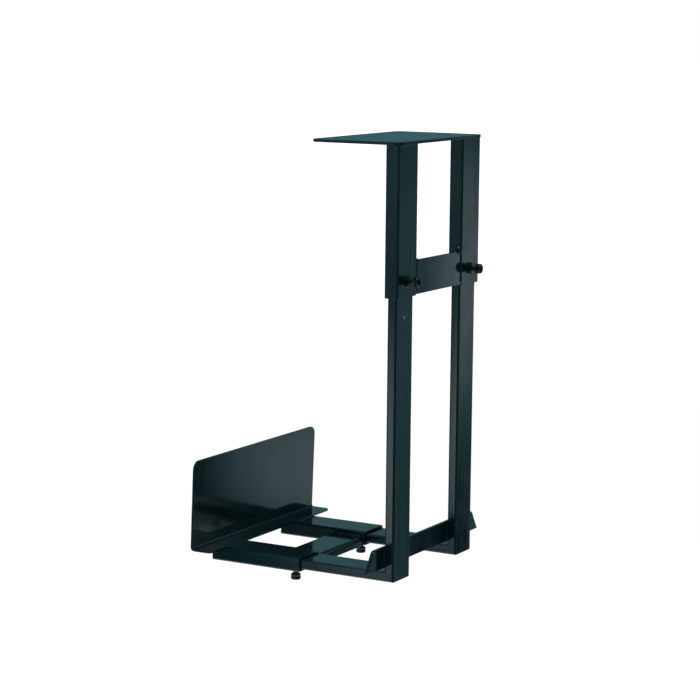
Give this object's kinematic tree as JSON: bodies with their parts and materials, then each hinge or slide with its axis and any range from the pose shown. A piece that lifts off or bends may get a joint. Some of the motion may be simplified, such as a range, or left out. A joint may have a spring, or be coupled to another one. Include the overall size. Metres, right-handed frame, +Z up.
{
  "type": "cpu holder",
  "caption": "Under-desk computer holder of black steel tube: telescoping uprights set its height, and a sliding side plate closes the computer's base against a fixed plate.",
  "frame": {"origin": "middle of the four screw holes, on the upper face that meets the underside of the desk", "axes": "+Z up into the desk, -X along the legs and out over the computer, Y along the computer; the frame is the same on both sides of the XZ plane"},
  "size_m": [0.2314, 0.241, 0.4505],
  "materials": {
    "black_gloss_paint": "gloss black paint over welded steel, with a faint cool cast",
    "black_oxide_steel": "black oxide on socket-head screws, satin"
  },
  "bodies": {
    "desk_frame": {"desk_plate": "black_gloss_paint", "front_sleeve": "black_gloss_paint", "rear_sleeve": "black_gloss_paint", "cross_bar": "black_gloss_paint", "front_height_nut": "black_gloss_paint", "rear_height_nut": "black_gloss_paint"},
    "front_height_screw": {"front_height_screw": "black_oxide_steel"},
    "rear_height_screw": {"rear_height_screw": "black_oxide_steel"},
    "lower_frame": {"front_upright": "black_gloss_paint", "rear_upright": "black_gloss_paint", "front_leg": "black_gloss_paint", "rear_leg": "black_gloss_paint", "fixed_plate": "black_gloss_paint"},
    "carriage": {"front_slide_tube": "black_gloss_paint", "rear_slide_tube": "black_gloss_paint", "cross_plate": "black_gloss_paint", "side_plate": "black_gloss_paint", "front_width_nut": "black_gloss_paint", "rear_width_nut": "black_gloss_paint"},
    "front_width_screw": {"front_width_screw": "black_oxide_steel"},
    "rear_width_screw": {"rear_width_screw": "black_oxide_steel"}
  },
  "joints": [
    {"name": "height_slide", "type": "slide", "parent": "desk_frame", "child": "lower_frame", "axis": [0, 0, 1], "range_m": [-0.03, 0.085]},
    {"name": "width_slide", "type": "slide", "parent": "lower_frame", "child": "carriage", "axis": [1, 0, 0], "range_m": [-0.018, 0.058]},
    {"name": "front_height_screw_turn", "type": "hinge", "parent": "desk_frame", "child": "front_height_screw", "pos_m": [0.055, -0.068, -0.136], "axis": [1, 0, 0], "range_deg": [0, 720]},
    {"name": "rear_height_screw_turn", "type": "hinge", "parent": "desk_frame", "child": "rear_height_screw", "pos_m": [0.055, 0.068, -0.136], "axis": [1, 0, 0], "range_deg": [0, 720]},
    {"name": "front_width_screw_turn", "type": "hinge", "parent": "carriage", "child": "front_width_screw", "pos_m": [-0.0695, -0.068, -0.4375], "axis": [0, 0, -1], "range_deg": [0, 720]},
    {"name": "rear_width_screw_turn", "type": "hinge", "parent": "carriage", "child": "rear_width_screw", "pos_m": [-0.0695, 0.068, -0.4375], "axis": [0, 0, -1], "range_deg": [0, 720]}
  ]
}
